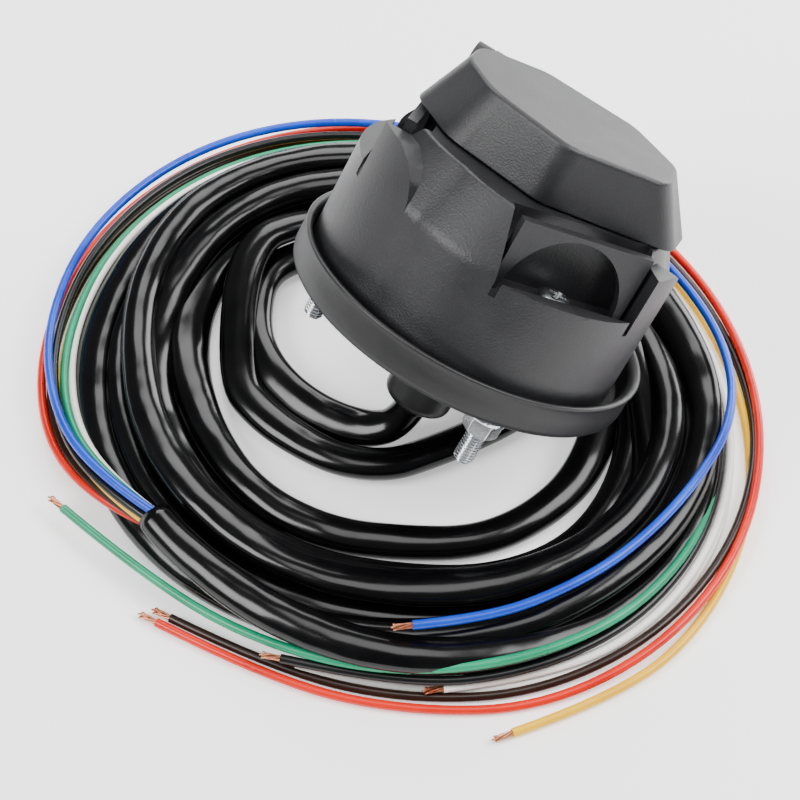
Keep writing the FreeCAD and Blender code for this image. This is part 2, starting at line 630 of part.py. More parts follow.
def socket_placement():
    """Where the socket's own frame sits in the row frame."""
    return Placement(Vector(0, BASE_Y, BASE_Z), Rotation(Vector(1, 0, 0), -LEAN))


def placed(shape):
    """Shape moved from the socket's frame to the row frame."""
    copy = shape.copy()
    copy.Placement = socket_placement().multiply(copy.Placement)
    return copy


def export(shape, name):
    """Check a shape and write it as STEP."""
    box = shape.BoundBox
    print("%-18s solids %2d valid %s volume %9.1f  x %.1f..%.1f y %.1f..%.1f z %.1f..%.1f" % (
        name, len(shape.Solids), shape.isValid(), shape.Volume,
        box.XMin, box.XMax, box.YMin, box.YMax, box.ZMin, box.ZMax))
    shape.exportStep("parts/" + name + ".step")


SOCKET_PARTS = {
    "housing": housing,
    "contact_carrier": contact_carrier,
    "contact_sleeves": contacts,
    "clamp_screws": clamp_screws,
    "carrier_screws": carrier_screws,
    "rear_cover": rear_cover,
    "gasket": gasket,
    "cable_boot": cable_boot,
    "mounting_bolts": studs,
    "bolt_washers": washers,
    "bolt_nuts": nuts,
    "lid": lid,
    "lid_seal": lid_seal,
    "hinge_pin": hinge_pin,
    "hinge_spring": hinge_spring,
}

os.makedirs("parts", exist_ok=True)
for part_name, make in SOCKET_PARTS.items():
    export(placed(make()), part_name)
export(cord([Vector(*p) for p in SLEEVE_POINTS], SLEEVE_R, "sleeve_lead"), "sleeve_lead")
export(sleeve_coil(), "sleeve_coil")
for wire_name, steps in WIRES.items():
    export(cord(wire_points(steps), WIRE_R, wire_name), wire_name)
export(Part.makeCompound([copper_end(wire_points(steps)) for steps in WIRES.values()]), "copper_ends")
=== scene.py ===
# %% [markdown]
# # Seven-pole trailer socket on its coiled cable
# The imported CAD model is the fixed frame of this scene. Everything made below is placed from it, in
# metres, and rides on one of its two bodies: the socket or the lid.

# %% Load the frame
import json
from math import atan2, cos, degrees, pi, radians, sin

import bmesh
import bpy
from mathutils import Matrix, Vector


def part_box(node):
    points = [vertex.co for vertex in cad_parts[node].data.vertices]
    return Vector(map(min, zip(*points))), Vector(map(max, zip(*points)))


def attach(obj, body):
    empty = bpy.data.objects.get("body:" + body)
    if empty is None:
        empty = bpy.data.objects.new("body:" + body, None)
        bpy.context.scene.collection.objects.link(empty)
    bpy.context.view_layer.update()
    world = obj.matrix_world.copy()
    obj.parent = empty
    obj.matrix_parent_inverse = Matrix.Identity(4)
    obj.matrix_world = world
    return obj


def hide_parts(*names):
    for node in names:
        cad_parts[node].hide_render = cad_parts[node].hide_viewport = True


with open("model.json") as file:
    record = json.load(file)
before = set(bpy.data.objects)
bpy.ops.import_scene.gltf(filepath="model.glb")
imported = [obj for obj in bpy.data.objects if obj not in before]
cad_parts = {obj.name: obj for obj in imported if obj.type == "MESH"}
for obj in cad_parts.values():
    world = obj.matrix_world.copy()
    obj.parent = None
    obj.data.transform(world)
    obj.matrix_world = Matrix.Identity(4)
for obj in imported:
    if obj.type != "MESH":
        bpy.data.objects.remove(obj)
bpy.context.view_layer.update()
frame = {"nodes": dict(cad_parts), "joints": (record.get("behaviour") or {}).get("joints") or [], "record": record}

MM = 0.001
SOCKET = "socket"
LID = "lid"

# %% [markdown]
# ## The socket's own frame
# The socket leans on its rear stud. Its axis is the way the plug bore points, so the record's bore mount
# gives both the lean and a point on the axis. A matrix takes a point given along the socket's own axes,
# with the gasket's underside at height zero, to its place in the scene. The record's stud pattern lies a
# little lower, on the threads past the nuts.

# %% The socket's frame, from the record's mounts
mounts = {mount["name"]: mount for mount in frame["record"]["mounts"]}
axis = Vector(mounts["plug_bore"]["axis"]).normalized()
STUD_PLANE_HEIGHT = -8.6 * MM
base = Vector(mounts["stud_pattern"]["pos_m"]) - axis * STUD_PLANE_HEIGHT
lean = atan2(axis.y, axis.z)
socket_matrix = Matrix.Translation(base) @ Matrix.Rotation(-lean, 4, "X")
print("lean %.1f degrees, base at" % degrees(lean), [round(v, 4) for v in base])

# %% [markdown]
# ## Camera
# The view is from well above, looking along the ground to the back left. A long lens from half a metre
# away keeps the lines nearly parallel.

# %% Camera
CAMERA_AZIMUTH = 50.0
CAMERA_ELEVATION = 54.0
CAMERA_DISTANCE = 0.531
CAMERA_AIM = base + Vector((0.0023, -0.0203, -0.0110))
LENS_MM = 99.0
CLIP_START = 0.01

camera_data = bpy.data.cameras.new("camera")
camera_data.lens = LENS_MM
camera_data.clip_start = CLIP_START
camera = bpy.data.objects.new("camera", camera_data)
bpy.context.scene.collection.objects.link(camera)
swing = Matrix.Rotation(radians(CAMERA_AZIMUTH), 4, "Z")
tilt = Matrix.Rotation(radians(90 - CAMERA_ELEVATION), 4, "X")
turn = swing @ tilt
back = turn.to_3x3() @ Vector((0, 0, 1))
camera.matrix_world = Matrix.Translation(CAMERA_AIM + back * CAMERA_DISTANCE) @ turn
bpy.context.scene.camera = camera
print("camera at", [round(v, 4) for v in camera.matrix_world.translation])

# %% [markdown]
# ## Colours and nodes
# Colours are written as the hex values that a screen shows. Shaders work in linear light, so one
# function converts them. A second small function adds a node, sets it up and links it.

# %% Colour and node helpers
def linear(code):
    """Linear RGBA of an sRGB hex colour."""
    channels = [int(code[i:i + 2], 16) / 255 for i in (0, 2, 4)]
    return tuple(c / 12.92 if c <= 0.04045 else ((c + 0.055) / 1.055) ** 2.4 for c in channels) + (1.0,)


def add_node(tree, kind, settings=None, links=None, stops=()):
    """Adds a node. settings are attributes or input values, links are inputs fed by other sockets.

    stops are a colour ramp's two ends, each a position and a colour.
    """
    node = tree.nodes.new("ShaderNode" + kind)
    for name, value in (settings or {}).items():
        if hasattr(node, name):
            setattr(node, name, value)
        else:
            node.inputs[name].default_value = value
    for name, source in (links or {}).items():
        tree.links.new(source, node.inputs[name])
    for i, (position, colour) in enumerate(stops):
        node.color_ramp.elements[i].position = position
        node.color_ramp.elements[i].color = colour
    return node


def new_material(name):
    """An empty node material with its shader, and both for further nodes."""
    material = bpy.data.materials.new(name)
    material.use_nodes = True
    tree = material.node_tree
    return material, tree, tree.nodes["Principled BSDF"]


def per_metre(size_mm):
    """Texture scale whose pattern repeats at this real size."""
    return 1 / (size_mm * MM)


print("half grey in linear light %.3f" % linear("808080")[0])

# %% [markdown]
# ## Lines and tubes
# A cord's route is a NURBS curve of order 3 along listed control points. Blender can turn the
# bare curve into a line of points, and a mesh tube is then skinned round that line, so that its section
# may flatten and tilt on the way.

# %% Curves, lines and tubes
LINE_STEPS = 8
ROUND_STEPS = 3


def nurbs(name, points, bevel=0.0):
    """Curve object through control points, with a round section if bevel is given."""
    data = bpy.data.curves.new(name, "CURVE")
    data.dimensions = "3D"
    data.resolution_u = LINE_STEPS
    spline = data.splines.new("NURBS")
    spline.points.add(len(points) - 1)
    for control, point in zip(spline.points, points):
        control.co = (*point, 1.0)
    spline.order_u = 3
    spline.use_endpoint_u = True
    data.bevel_depth = bevel
    data.bevel_resolution = ROUND_STEPS
    data.use_fill_caps = bevel > 0
    piece = bpy.data.objects.new(name, data)
    bpy.context.scene.collection.objects.link(piece)
    return piece


def line_of(points):
    """Points of the NURBS line itself, as Blender steps along it."""
    guide = nurbs("guide", points)
    mesh = bpy.data.meshes.new_from_object(guide)
    line = [vertex.co.copy() for vertex in mesh.vertices]
    bpy.data.objects.remove(guide)
    bpy.data.meshes.remove(mesh)
    return line


def length_of(line):
    """Length of a line of points."""
    return sum((b - a).length for a, b in zip(line, line[1:]))


def ring_at(shell, line, i, outline):
    """Ring of vertices round a line's point, square to the line. outline is (across, above) offsets."""
    ahead = line[min(i + 1, len(line) - 1)] - line[max(i - 1, 0)]
    across = ahead.cross(Vector((0, 0, 1))).normalized()
    above = across.cross(ahead).normalized()
    return [shell.verts.new(line[i] + across * u + above * v) for u, v in outline]


def skin(shell, rings):
    """Faces between each ring and the next, and a face over each end."""
    count = len(rings[0])
    for low, high in zip(rings, rings[1:]):
        for k in range(count):
            shell.faces.new((low[k], low[(k + 1) % count], high[(k + 1) % count], high[k]))
    shell.faces.new(rings[0][::-1])
    shell.faces.new(rings[-1])


def mesh_piece(name, shell, material, body, replaced):
    """Finishes a bmesh as a shown piece that rides on a body."""
    bmesh.ops.recalc_face_normals(shell, faces=shell.faces)
    mesh = bpy.data.meshes.new(name)
    shell.to_mesh(mesh)
    shell.free()
    mesh.polygons.foreach_set("use_smooth", [True] * len(mesh.polygons))
    mesh.materials.append(material)
    piece = bpy.data.objects.new(name, mesh)
    bpy.context.scene.collection.objects.link(piece)
    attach(piece, body)
    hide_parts(*replaced)
    print("%-16s %6d faces" % (name, len(mesh.polygons)))
    return piece


# %% [markdown]
# ## Plastics and rubbers
# Moulded parts carry a fine spark-eroded grain that scatters the light. Noise gives the grain, cells give
# the pits between, and a slow cloud varies tone and sheen. All patterns are sized in real millimetres on
# object coordinates.

# %% Moulded plastic and rubber
MOULD_CLOUD_MM = 9.0
PIT_TO_GRAIN = 1.6
MOULD_SPECULAR = 0.45


def moulded(name, dark, light, grain_mm, grain_depth_mm, rough_low, rough_high):
    """Matte moulded plastic or rubber: mottled tone, fine grain in the surface, uneven sheen."""
    material, tree, shader = new_material(name)
    place = add_node(tree, "TexCoord").outputs["Object"]
    cloud = add_node(tree, "TexNoise", {"Scale": per_metre(MOULD_CLOUD_MM), "Detail": 4.0}, {"Vector": place})
    grain = add_node(tree, "TexNoise", {"Scale": per_metre(grain_mm), "Detail": 3.0, "Roughness": 0.65},
                     {"Vector": place})
    pits = add_node(tree, "TexVoronoi", {"Scale": per_metre(grain_mm * PIT_TO_GRAIN)}, {"Vector": place})
    tone = add_node(tree, "Math", {"operation": "MULTIPLY"},
                    {0: cloud.outputs["Fac"], 1: grain.outputs["Fac"]})
    colour = add_node(tree, "ValToRGB", links={"Fac": tone.outputs["Value"]},
                      stops=((0.12, linear(dark)), (0.45, linear(light))))
    tree.links.new(colour.outputs["Color"], shader.inputs["Base Color"])
    rough = add_node(tree, "MapRange", {"To Min": rough_low, "To Max": rough_high},
                     {"Value": cloud.outputs["Fac"]})
    tree.links.new(rough.outputs["Result"], shader.inputs["Roughness"])
    height = add_node(tree, "Math", {"operation": "MULTIPLY"},
                      {0: grain.outputs["Fac"], 1: pits.outputs["Distance"]})
    bump = add_node(tree, "Bump", {"Strength": 1.0, "Distance": grain_depth_mm * MM},
                    {"Height": height.outputs["Value"]})
    tree.links.new(bump.outputs["Normal"], shader.inputs["Normal"])
    shader.inputs["Specular IOR Level"].default_value = MOULD_SPECULAR
    return material


# Spark-eroded black polyamide: a fine grain that turns grey where light grazes it.
housing_plastic = moulded("black moulded polyamide", "151517", "232326", 0.34, 0.07, 0.36, 0.5)
lid_plastic = moulded("black moulded polyamide lid", "161618", "252528", 0.3, 0.06, 0.38, 0.52)
# The insert is smoother and a shade browner, as glass-filled plastic is.
carrier_plastic = moulded("glass-filled insert plastic", "191818", "262524", 0.6, 0.05, 0.35, 0.5)
# Rubber has almost no grain, only a dull, slightly cloudy bloom.
gasket_rubber = moulded("black gasket rubber", "101011", "1B1B1D", 0.8, 0.03, 0.38, 0.55)
boot_rubber = moulded("black boot rubber", "0D0D0E", "171718", 1.0, 0.03, 0.3, 0.46)
seal_rubber = moulded("soft seal rubber", "141414", "1E1E1E", 0.8, 0.02, 0.5, 0.65)
print("moulded materials", len(bpy.data.materials))

# %% [markdown]
# ## Soft PVC
# The sleeve and the wires' insulation are extruded from plasticised PVC, which comes out of the die glossy.
# Its colour is even. What the eye reads is the highlight, which shallow ripples bend where the tube has
# been coiled and pressed.

# %% Soft PVC
PVC_CLOUD_MM = 14.0
PVC_SPECULAR = 0.35


def glossy_pvc(name, dark, light, rough_low, rough_high, ripple_mm, ripple_depth_mm):
    """Extruded soft PVC: even colour with faint clouding, shallow ripples and a wet-looking skin."""
    material, tree, shader = new_material(name)
    place = add_node(tree, "TexCoord").outputs["Object"]
    cloud = add_node(tree, "TexNoise", {"Scale": per_metre(PVC_CLOUD_MM), "Detail": 3.0}, {"Vector": place})
    ripple = add_node(tree, "TexNoise", {"Scale": per_metre(ripple_mm), "Detail": 1.0}, {"Vector": place})
    colour = add_node(tree, "ValToRGB", links={"Fac": cloud.outputs["Fac"]},
                      stops=((0.35, linear(dark)), (0.65, linear(light))))
    tree.links.new(colour.outputs["Color"], shader.inputs["Base Color"])
    rough = add_node(tree, "MapRange", {"To Min": rough_low, "To Max": rough_high},
                     {"Value": cloud.outputs["Fac"]})
    tree.links.new(rough.outputs["Result"], shader.inputs["Roughness"])
    shader.inputs["Specular IOR Level"].default_value = PVC_SPECULAR
    bump = add_node(tree, "Bump", {"Strength": 1.0, "Distance": ripple_depth_mm * MM},
                    {"Height": ripple.outputs["Fac"]})
    tree.links.new(bump.outputs["Normal"], shader.inputs["Normal"])
    return material


# Soft PVC sleeve: near black with long sharp highlights, broken up by shallow ripples.
sleeve_pvc = glossy_pvc("glossy black PVC sleeve", "030304", "070708", 0.12, 0.24, 15.0, 0.9)
# Wire insulation: thin-walled glossy PVC in plain colours.
WIRE_COLOURS = {
    "wire_blue": ("blue PVC insulation", "0634A8", "0E46C4", "blue_pvc"),
    "wire_black": ("black PVC insulation", "0A0A0B", "111112", "black_pvc"),
    "wire_yellow": ("yellow PVC insulation", "E0A800", "EBB600", "yellow_pvc"),
    "wire_green": ("green PVC insulation", "007E58", "008E64", "green_pvc"),
    "wire_brown": ("brown PVC insulation", "1E100B", "2A1811", "brown_pvc"),
    "wire_red": ("red PVC insulation", "C60E00", "DA1C02", "red_pvc"),
    "wire_white": ("white PVC insulation", "E8E4DE", "F5F2EC", "white_pvc"),
    "wire_white_spare": ("white PVC insulation spare", "E8E4DE", "F5F2EC", "white_pvc"),
}

# %% [markdown]
# ## Metals
# Zinc plating is bright and cool, with a slightly uneven sheen. Brass contacts are turned, so fine rings
# run round them. Copper strands are warm and bright where the insulation has been pulled off.

# %% Metals
METAL_CLOUD_MM = 3.0


def metal(name, dark, light, rough_low, rough_high, pattern_mm, depth_mm):
    """Plated, turned or drawn metal: tone and sheen vary, and fine marks break the highlights."""
    material, tree, shader = new_material(name)
    place = add_node(tree, "TexCoord").outputs["Object"]
    cloud = add_node(tree, "TexNoise", {"Scale": per_metre(METAL_CLOUD_MM), "Detail": 5.0}, {"Vector": place})
    marks = add_node(tree, "TexNoise", {"Scale": per_metre(pattern_mm), "Detail": 3.0}, {"Vector": place})
    colour = add_node(tree, "ValToRGB", links={"Fac": cloud.outputs["Fac"]},
                      stops=((0.3, linear(dark)), (0.7, linear(light))))
    tree.links.new(colour.outputs["Color"], shader.inputs["Base Color"])
    rough = add_node(tree, "MapRange", {"To Min": rough_low, "To Max": rough_high},
                     {"Value": marks.outputs["Fac"]})
    tree.links.new(rough.outputs["Result"], shader.inputs["Roughness"])
    bump = add_node(tree, "Bump", {"Strength": 0.6, "Distance": depth_mm * MM},
                    {"Height": marks.outputs["Fac"]})
    tree.links.new(bump.outputs["Normal"], shader.inputs["Normal"])
    shader.inputs["Metallic"].default_value = 1.0
    return material


# Bright zinc on steel: cool white metal with a faint cloud.
zinc = metal("bright zinc plate", "C4C8CE", "E4E7EA", 0.16, 0.3, 0.4, 0.02)
# The hinge pin is ground steel, a little darker.
pin_steel = metal("ground pin steel", "9A9CA0", "BDBFC2", 0.2, 0.34, 0.25, 0.01)
# Spring wire is drawn, with a greyer skin.
spring_steel = metal("drawn spring steel", "7E8084", "A4A6AA", 0.25, 0.4, 0.3, 0.01)
# Turned brass, slightly tarnished in places.
brass = metal("turned brass", "B08A3E", "D8B465", 0.2, 0.36, 0.2, 0.01)
# Fresh copper strands, pinker where they catch the light.
copper = metal("bare copper strand", "A85F42", "DDA07E", 0.22, 0.4, 0.3, 0.01)
print("materials so far", len(bpy.data.materials))

# %% [markdown]
# ## The sleeve
# The cable's sleeve is one soft PVC tube, 8 mm wide. It leaves the boot, turns down to the surface and
# then lies in loose turns that grow outwards, with some turns riding on others. Each row of the table is
# one turn, clockwise from the left in eighths: how far inside the coil's edge the sleeve lies, and how
# high. A loop makes the points of every turn from it, and a small sway keeps the turns from looking
# machine-wound. FIRST_BEND, UNDER_SOCKET and MOUTH are the run from the lead to the first turn and the
# open end, in the same measures, or in millimetres along the scene's axes.

# %% Route of the sleeve
SLEEVE_D = 8.0 * MM
COIL_CENTRE = (-12.0, -20.2)
COIL_OUTER = (87.0, 77.0)
LEAD = ((0.0, -22.97, 14.41), (-0.6, -27.2, 8.5), (-5.0, -32.4, 5.2), (-13.2, -37.6, 4.3),
        (-25.0, -41.0, 4.2), (-38.0, -40.6, 4.3), (-50.0, -35.8, 4.2))
FIRST_BEND = ((35.5, 4.1), (36, 4.1), (36, 4.1))
UNDER_SOCKET = ((0, 21.5, 4.1), (10, 14, 4.1), (14, 0, 4.1), (12, -13, 4.1), (9, -25, 4.1), (5.5, -35.5, 4.1),
                (-3, -43.5, 4.1), (-13.5, -47.5, 4.1), (-26, -50, 4.1), (-40, -49, 4.1))
TURNS = (
    ((30.7, 10.8), (31, 9.5), (28, 4.1), (28.5, 4.1), (36, 4.1), (38, 4.1), (31.5, 4.1), (30, 4.1)),
    ((26, 4.1), (24, 4.1), (20, 4.1), (20.5, 4.1), (22, 4.1), (26, 4.1), (22, 4.1), (21.5, 4.1)),
    ((20.8, 10.6), (19, 11), (17, 11), (17.5, 7.8), (12.8, 4.1), (16, 4.1), (13, 4.1), (13, 4.1)),
    ((15.5, 4.1), (14, 4.1), (12.8, 4.1), (11.5, 10.5), (17.4, 11.2), (21, 11.2), (17.5, 11.2), (17.5, 11)),
    ((10.2, 10.6), (9.4, 10.9), (8.6, 11), (4, 12), (8.6, 11), (9.2, 7.5), (4.4, 4.1), (4.6, 4.1)),
    ((5, 4.1), (4.6, 4.1), (4.4, 4.1), (3.6, 4.1), (4.4, 4.1), (2.5, 10.5), (6, 11.4)),
)
START_AZIMUTH = 183.0
EIGHTH = 45.0
OUTWARD = 1.2
SWAY = (0.7, 2.3)
MOUTH = (-92.5, 6.0, 11.6)


def on_coil(azimuth, inside, height):
    """Point at this azimuth, so far inside the coil's edge, in metres."""
    x = COIL_CENTRE[0] + (COIL_OUTER[0] - inside) * cos(radians(azimuth))
    y = COIL_CENTRE[1] + (COIL_OUTER[1] - inside) * sin(radians(azimuth))
    return Vector((x, y, height)) * MM


def sleeve_route():
    """The lead, the first bend and the run under the socket, then the turns with two points to an eighth."""
    points = [Vector(p) * MM for p in LEAD]
    for i, (inside, height) in enumerate(FIRST_BEND):
        points.append(on_coil(START_AZIMUTH - i * EIGHTH, inside, height))
        if i + 1 < len(FIRST_BEND):
            points.append(on_coil(START_AZIMUTH - (i + 0.5) * EIGHTH, inside, height))
    points += [Vector(p) * MM for p in UNDER_SOCKET]
    rows = [row for turn in TURNS for row in turn]
    for i, (inside, height) in enumerate(rows):
        azimuth = START_AZIMUTH - i * EIGHTH
        points.append(on_coil(azimuth, inside - OUTWARD, height))
        if i + 1 < len(rows):
            next_inside, next_height = rows[i + 1]
            sway = SWAY[0] * sin(SWAY[1] * i)
            points.append(on_coil(azimuth - EIGHTH / 2, (inside + next_inside) / 2 - OUTWARD + sway,
                                  (height + next_height) / 2))
    return points + [on_coil(*MOUTH)]


sleeve_line = line_of(sleeve_route())
print("sleeve length %.3f m, %d steps" % (length_of(sleeve_line), len(sleeve_line)))

# %% [markdown]
# ## The sleeve's section
# Soft tube flattens where it bends or is pressed. Its section is an ellipse that goes from nearly round
# to ribbon-like and tips from side to side. The cut end is open, with a thin wall and a dark inside.

# %% Sleeve
SIDES = 20
WALL = 0.7 * MM
ROUND_START = 0.02             # metres over which the tube leaves the boot round
SLOW_WAVE = 23.0               # radians for each metre of sleeve
SLOW_DRIFT = 11.0
QUICK_WAVE = 71.0
ROLL_WAVE = 17.0
ROLL_DRIFT = 7.0
WIDENS = 0.38                  # share of the radius, where the tube is flattest
THINS = 0.27
ROLL = 0.6
FLAT_LEAST = 0.2               # shares of the flatness that stay, follow the slow wave and the quick one
FLAT_SLOW = 0.62
FLAT_QUICK = 0.22
MOUTH_INSIDE_STEPS = (1, 3, 5)


def flatness(s):
    """How flat the sleeve is at a distance along it, from 0, round, to 1."""
    slow = 0.5 + 0.5 * sin(s * SLOW_WAVE + 1.4 * sin(s * SLOW_DRIFT))
    quick = 0.5 + 0.5 * sin(s * QUICK_WAVE + 2.0)
    return min(1.0, FLAT_LEAST + FLAT_SLOW * slow ** 2 + FLAT_QUICK * quick)


def ellipse(half_wide, half_high, tip):
    """Outline of an ellipse tipped by an angle."""
    outline = []
    for k in range(SIDES):
        turn = 2 * pi * k / SIDES
        u, v = half_wide * cos(turn), half_high * sin(turn)
        outline.append((u * cos(tip) - v * sin(tip), u * sin(tip) + v * cos(tip)))
    return outline


def sleeve_outline(s, shrink=0.0):
    """Section of the sleeve at a distance along it, smaller all round by shrink."""
    flat = flatness(max(s, ROUND_START)) * min(1.0, s / ROUND_START)
    half_wide = SLEEVE_D / 2 * (1 + WIDENS * flat) - shrink
    half_high = SLEEVE_D / 2 * (1 - THINS * flat) - shrink
    roll = ROLL * sin(s * ROLL_WAVE + 0.6 + 1.1 * sin(s * ROLL_DRIFT))
    return ellipse(half_wide, half_high, roll * flat)


shell = bmesh.new()
rings = []
travelled = 0.0
for i, point in enumerate(sleeve_line):
    if i:
        travelled += (point - sleeve_line[i - 1]).length
    rings.append(ring_at(shell, sleeve_line, i, sleeve_outline(travelled)))
for back_steps in MOUTH_INSIDE_STEPS:
    rings.append(ring_at(shell, sleeve_line, len(sleeve_line) - back_steps, sleeve_outline(travelled, WALL)))
skin(shell, rings)
sleeve = mesh_piece("sleeve", shell, sleeve_pvc, SOCKET, ("sleeve_lead", "sleeve_coil"))

# %% [markdown]
# ## The wires
# Eight insulated wires come out of the sleeve's open end and run about one more turn clockwise. Each row
# of a wire's table is an azimuth, a distance outside the coil's edge and a height.

# %% Wires
WIRE_D = 2.3 * MM
WIRES = {
    "wire_blue": (
        (-92, -6, 14), (-104, 0, 13), (-119, 5, 10), (-138, 8, 8), (-160, 9, 8), (-184, 9, 8),
        (-208, 9, 7), (-232, 8, 6), (-256, 7, 5), (-280, 6, 6), (-300, 6, 10), (-318, 3, 15),
        (-336, -4, 17.5), (-354, -8, 16.7), (-370, -9, 17.2), (-386, -8, 16.7), (-400, -7, 16.9)),
    "wire_black": (
        (-91, -5, 12), (-103, 1, 11), (-118, 5, 8), (-137, 6, 6), (-159, 6, 6), (-183, 6, 6),
        (-207, 6, 5), (-231, 5, 4), (-256, 4, 4), (-282, 4, 4), (-308, 3, 5), (-334, 3, 5),
        (-358, 3, 6), (-380, 3, 7), (-401, 3, 6), (-421, 3, 6)),
    "wire_yellow": (
        (-92, -4, 11), (-104, 1, 9), (-120, 4, 5), (-140, 4, 2), (-163, 4, 1.4), (-187, 4, 1.5),
        (-211, 5, 1.4), (-235, 6, 1.5), (-259, 7, 1.4), (-283, 8, 1.5), (-307, 9, 1.4), (-330, 11, 1.5),
        (-351, 13, 1.4), (-369, 14, 1.5), (-386, 14, 1.4)),
    "wire_green": (
        (-91, -7, 12), (-103, -2, 11), (-119, 3, 8), (-139, 3, 5), (-162, 3, 4), (-187, 3, 4),
        (-212, 3, 4), (-237, 3, 4), (-262, 3, 3.6), (-287, 2, 4), (-312, 2, 4), (-336, 1.8, 6),
        (-360, 1.8, 9), (-383, 1.8, 11), (-405, 1.8, 9), (-426, 2, 7), (-446, 4, 6), (-464, 10, 5)),
    "wire_brown": (
        (-92, -5, 9), (-104, 2, 7), (-120, 7, 3), (-140, 7, 1.5), (-163, 7, 1.4), (-187, 7, 1.5),
        (-211, 8, 1.4), (-235, 9, 1.5), (-259, 10, 1.4), (-284, 11, 1.5), (-309, 12, 1.4),
        (-333, 10, 3.8), (-357, 8, 3.6), (-380, 6, 1.5), (-401, 4, 1.4), (-421, 4, 1.5),
        (-440, 6, 1.4)),
    "wire_red": (
        (-91, -6, 8), (-103, 3, 6), (-119, 9, 3), (-139, 10, 1.4), (-162, 10, 1.5), (-186, 10, 1.4),
        (-210, 11, 1.5), (-234, 12, 1.4), (-258, 13, 1.5), (-283, 14, 1.4), (-308, 13, 3.8),
        (-333, 12, 4.0), (-357, 11, 3.6), (-380, 10, 1.5), (-401, 7, 1.4), (-421, 7, 1.5),
        (-441, 9, 1.4)),
    "wire_white": (
        (-92, -7, 9), (-104, -1, 7), (-120, 2, 3), (-140, 2, 1.5), (-163, 2, 1.4), (-187, 2, 1.5),
        (-211, 2, 1.4), (-236, 2, 1.5), (-261, 3, 1.4), (-286, 4, 1.5), (-311, 5, 1.4), (-336, 6, 1.5),
        (-359, 6, 1.4), (-380, 4, 1.5), (-400, 2, 1.4), (-419, 2, 1.5)),
    "wire_white_spare": (
        (-91, -8, 10), (-103, -3, 9), (-119, 1, 6), (-139, 2, 4), (-162, 2, 3.8), (-186, 2, 3.9),
        (-210, 2, 3.8), (-235, 2, 3.9), (-260, 3, 3.8), (-285, 4, 3.9), (-310, 5, 3.8), (-334, 5, 3.9),
        (-356, 5, 3.8), (-376, 4, 3.9), (-395, 2, 3.8)),
}
COPPER_L = 6.0 * MM
STRANDS = 7
STRAND_R = 0.24 * MM
STRAND_STEPS = 8
STRAND_SIDES = 6
STRAND_LAY = 0.52              # mm from the wire's axis to each outer strand's
STRAND_TWIST = 0.35            # turns that a strand makes over its length
SPLAY = 0.3
UNEVEN = 0.12                  # share by which the shortest strand is shorter
SUNK = 1.0 * MM                # length of each strand inside the insulation
WIRE_GLOSS = (0.22, 0.34)
WIRE_RIPPLE_MM = 3.0
WIRE_RIPPLE_DEPTH_MM = 0.03


def strand_line(tip, ahead, k):
    """One copper strand that winds along past the end of its wire and splays a little."""
    across = ahead.cross(Vector((0, 0, 1))).normalized()
    above = across.cross(ahead).normalized()
    line = []
    for step in range(STRAND_STEPS + 1):
        share = step / STRAND_STEPS
        turn = 2 * pi * (k / (STRANDS - 1) + STRAND_TWIST * share)
        out = 0.0 if k == STRANDS - 1 else (STRAND_LAY + SPLAY * share ** 2 * sin(1.3 * k) ** 2) * MM
        reach = COPPER_L * (share * (1 - UNEVEN * sin(2.1 * k) ** 2)) - SUNK
        line.append(tip + ahead * reach + across * out * cos(turn) + above * out * sin(turn))
    return line


strands = bmesh.new()
for name, rows in WIRES.items():
    route = [on_coil(azimuth, -outside, height) for azimuth, outside, height in rows]
    wire = nurbs(name + "_insulation", route, WIRE_D / 2)
    material_name, dark, light, slot_name = WIRE_COLOURS[name]
    wire.data.materials.append(glossy_pvc(material_name, dark, light, *WIRE_GLOSS, WIRE_RIPPLE_MM,
                                          WIRE_RIPPLE_DEPTH_MM))
    line = line_of(route)
    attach(wire, SOCKET)
    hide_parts(name)
    ahead = (line[-1] - line[-2]).normalized()
    for k in range(STRANDS):
        strand = strand_line(line[-1], ahead, k)
        outline = [(STRAND_R * cos(2 * pi * j / STRAND_SIDES), STRAND_R * sin(2 * pi * j / STRAND_SIDES))
                   for j in range(STRAND_SIDES)]
        skin(strands, [ring_at(strands, strand, i, outline) for i in range(len(strand))])
    print("%-18s %.3f m" % (name, length_of(line)))
mesh_piece("copper_strands", strands, copper, SOCKET, ("copper_ends",))

# %% [markdown]
# ## Housing and lid
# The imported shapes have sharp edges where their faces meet. A small bevel, as a live modifier on the same
# nodes, rounds them as a mould does, and weighted normals keep the broad faces flat beside it. The nodes'
# own meshes stay as they were packed.

# %% Rounded mouldings
WELD_MM = 0.002
SHARP = radians(32)


def break_edges(node, width_mm, clamp):
    """Rounds the edges of a CAD node with modifiers. clamp holds the bevel back at very short edges."""
    piece = frame["nodes"][node]
    weld = piece.modifiers.new("weld", "WELD")
    weld.merge_threshold = WELD_MM * MM
    bevel = piece.modifiers.new("broken edges", "BEVEL")
    bevel.width = width_mm * MM
    bevel.segments = 2
    bevel.limit_method = "ANGLE"
    bevel.angle_limit = SHARP
    bevel.use_clamp_overlap = clamp
    bevel.loop_slide = False
    piece.modifiers.new("even shading", "WEIGHTED_NORMAL")
    seen = piece.evaluated_get(bpy.context.evaluated_depsgraph_get())
    print("%-16s %6d faces with rounded edges" % (node, len(seen.data.polygons)))


BEVELS_MM = {"lid": 0.3, "bolt_washers": 0.1, "bolt_nuts": 0.12, "contact_carrier": 0.15, "rear_cover": 0.15}
break_edges("housing", 0.3, True)
for node, width_mm in BEVELS_MM.items():
    break_edges(node, width_mm, False)

# %% [markdown]
# ## Bolts with real threads
# The plain studs are replaced by ones with an M5 thread of 0.8 mm pitch. The thread is a grid of points
# whose radius follows a V that climbs one pitch in each turn. The pan heads have a cross recess.

